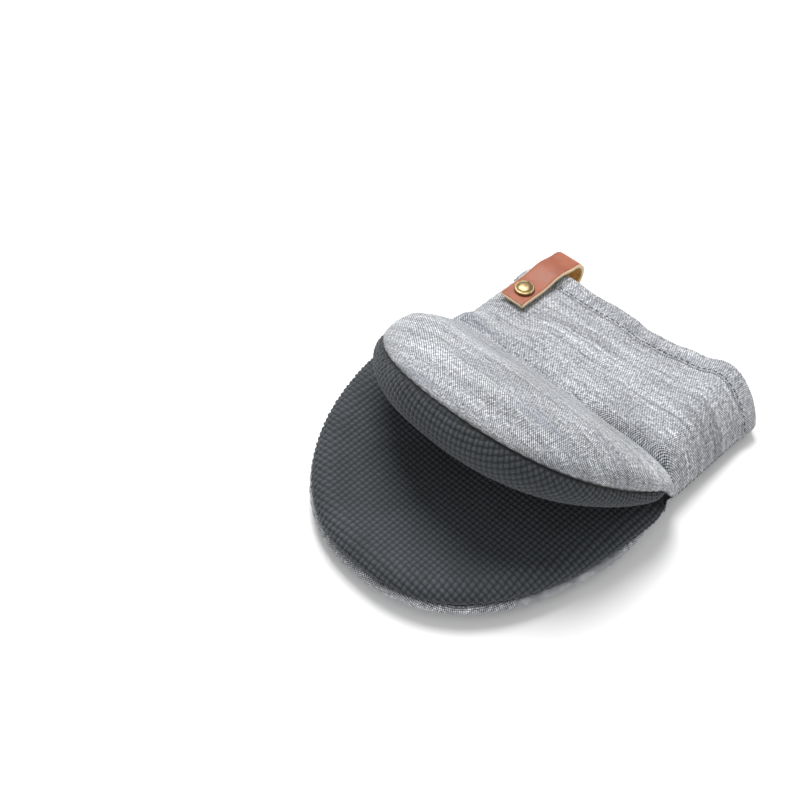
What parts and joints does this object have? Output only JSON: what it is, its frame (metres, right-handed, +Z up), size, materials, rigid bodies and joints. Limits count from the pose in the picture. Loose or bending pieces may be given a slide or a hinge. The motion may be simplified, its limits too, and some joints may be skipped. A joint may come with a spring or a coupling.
{
  "type": "mini oven mitt",
  "caption": "Short padded kitchen mitt with a finger pocket and a thumb pocket that pinch together, textured grip pads, a bound cuff and a riveted leather hanging strap.",
  "frame": {"origin": "On the flat underside, half way along the length and half way across the width", "axes": "+X across the mitt, +Y towards the cuff, +Z up from the table"},
  "size_m": [0.142, 0.2013, 0.0693],
  "materials": {
    "chambray": "matt plain-weave cotton, grey warp and pale weft",
    "batting": "matt needled batting",
    "lining": "matt plain cotton",
    "grip": "matt, embossed with a basket weave",
    "thread": "matt sewing thread",
    "binding": "matt plain-weave cotton, folded",
    "leather": "smooth tan face, ochre suede back",
    "rivet_metal": "antique brass"
  },
  "bodies": {
    "cuff": {"cuff_back_shell": "chambray", "cuff_back_batting": "batting", "cuff_back_lining": "lining", "cuff_top_shell": "chambray", "cuff_top_batting": "batting", "cuff_top_lining": "lining", "palm_fold": "grip", "binding_back": "binding", "binding_top": "binding", "binding_stitches": "thread", "side_seam_stitches": "thread", "rivet_cap": "rivet_metal", "rivet_post": "rivet_metal", "rivet_back_cap": "rivet_metal"},
    "finger_pocket": {"finger_shell": "chambray", "finger_batting": "batting", "finger_lining": "lining", "finger_palm_lining": "lining", "finger_grip": "grip", "finger_seam_stitches": "thread"},
    "thumb_pocket": {"thumb_shell": "chambray", "thumb_batting": "batting", "thumb_lining": "lining", "thumb_palm_lining": "lining", "thumb_grip": "grip", "thumb_seam_stitches": "thread"},
    "hanging_strap": {"hanging_strap": "leather"}
  },
  "joints": [
    {"name": "thumb_fold", "type": "hinge", "parent": "cuff", "child": "thumb_pocket", "pos_m": [0, 0.01175, 0.013], "axis": [-1, 0, 0], "range_deg": [-8, 15], "stiffness_Nm_per_rad": 0.3, "springref_deg": 1.72},
    {"name": "finger_fold", "type": "hinge", "parent": "cuff", "child": "finger_pocket", "pos_m": [0, 0.01175, 0.013], "axis": [-1, 0, 0], "range_deg": [0, 6], "stiffness_Nm_per_rad": 0.3, "springref_deg": -1.15},
    {"name": "strap_swivel", "type": "hinge", "parent": "cuff", "child": "hanging_strap", "pos_m": [-0.055, 0.06375, 0.0146], "axis": [0, 0, 1], "range_deg": [-12, 12]}
  ]
}
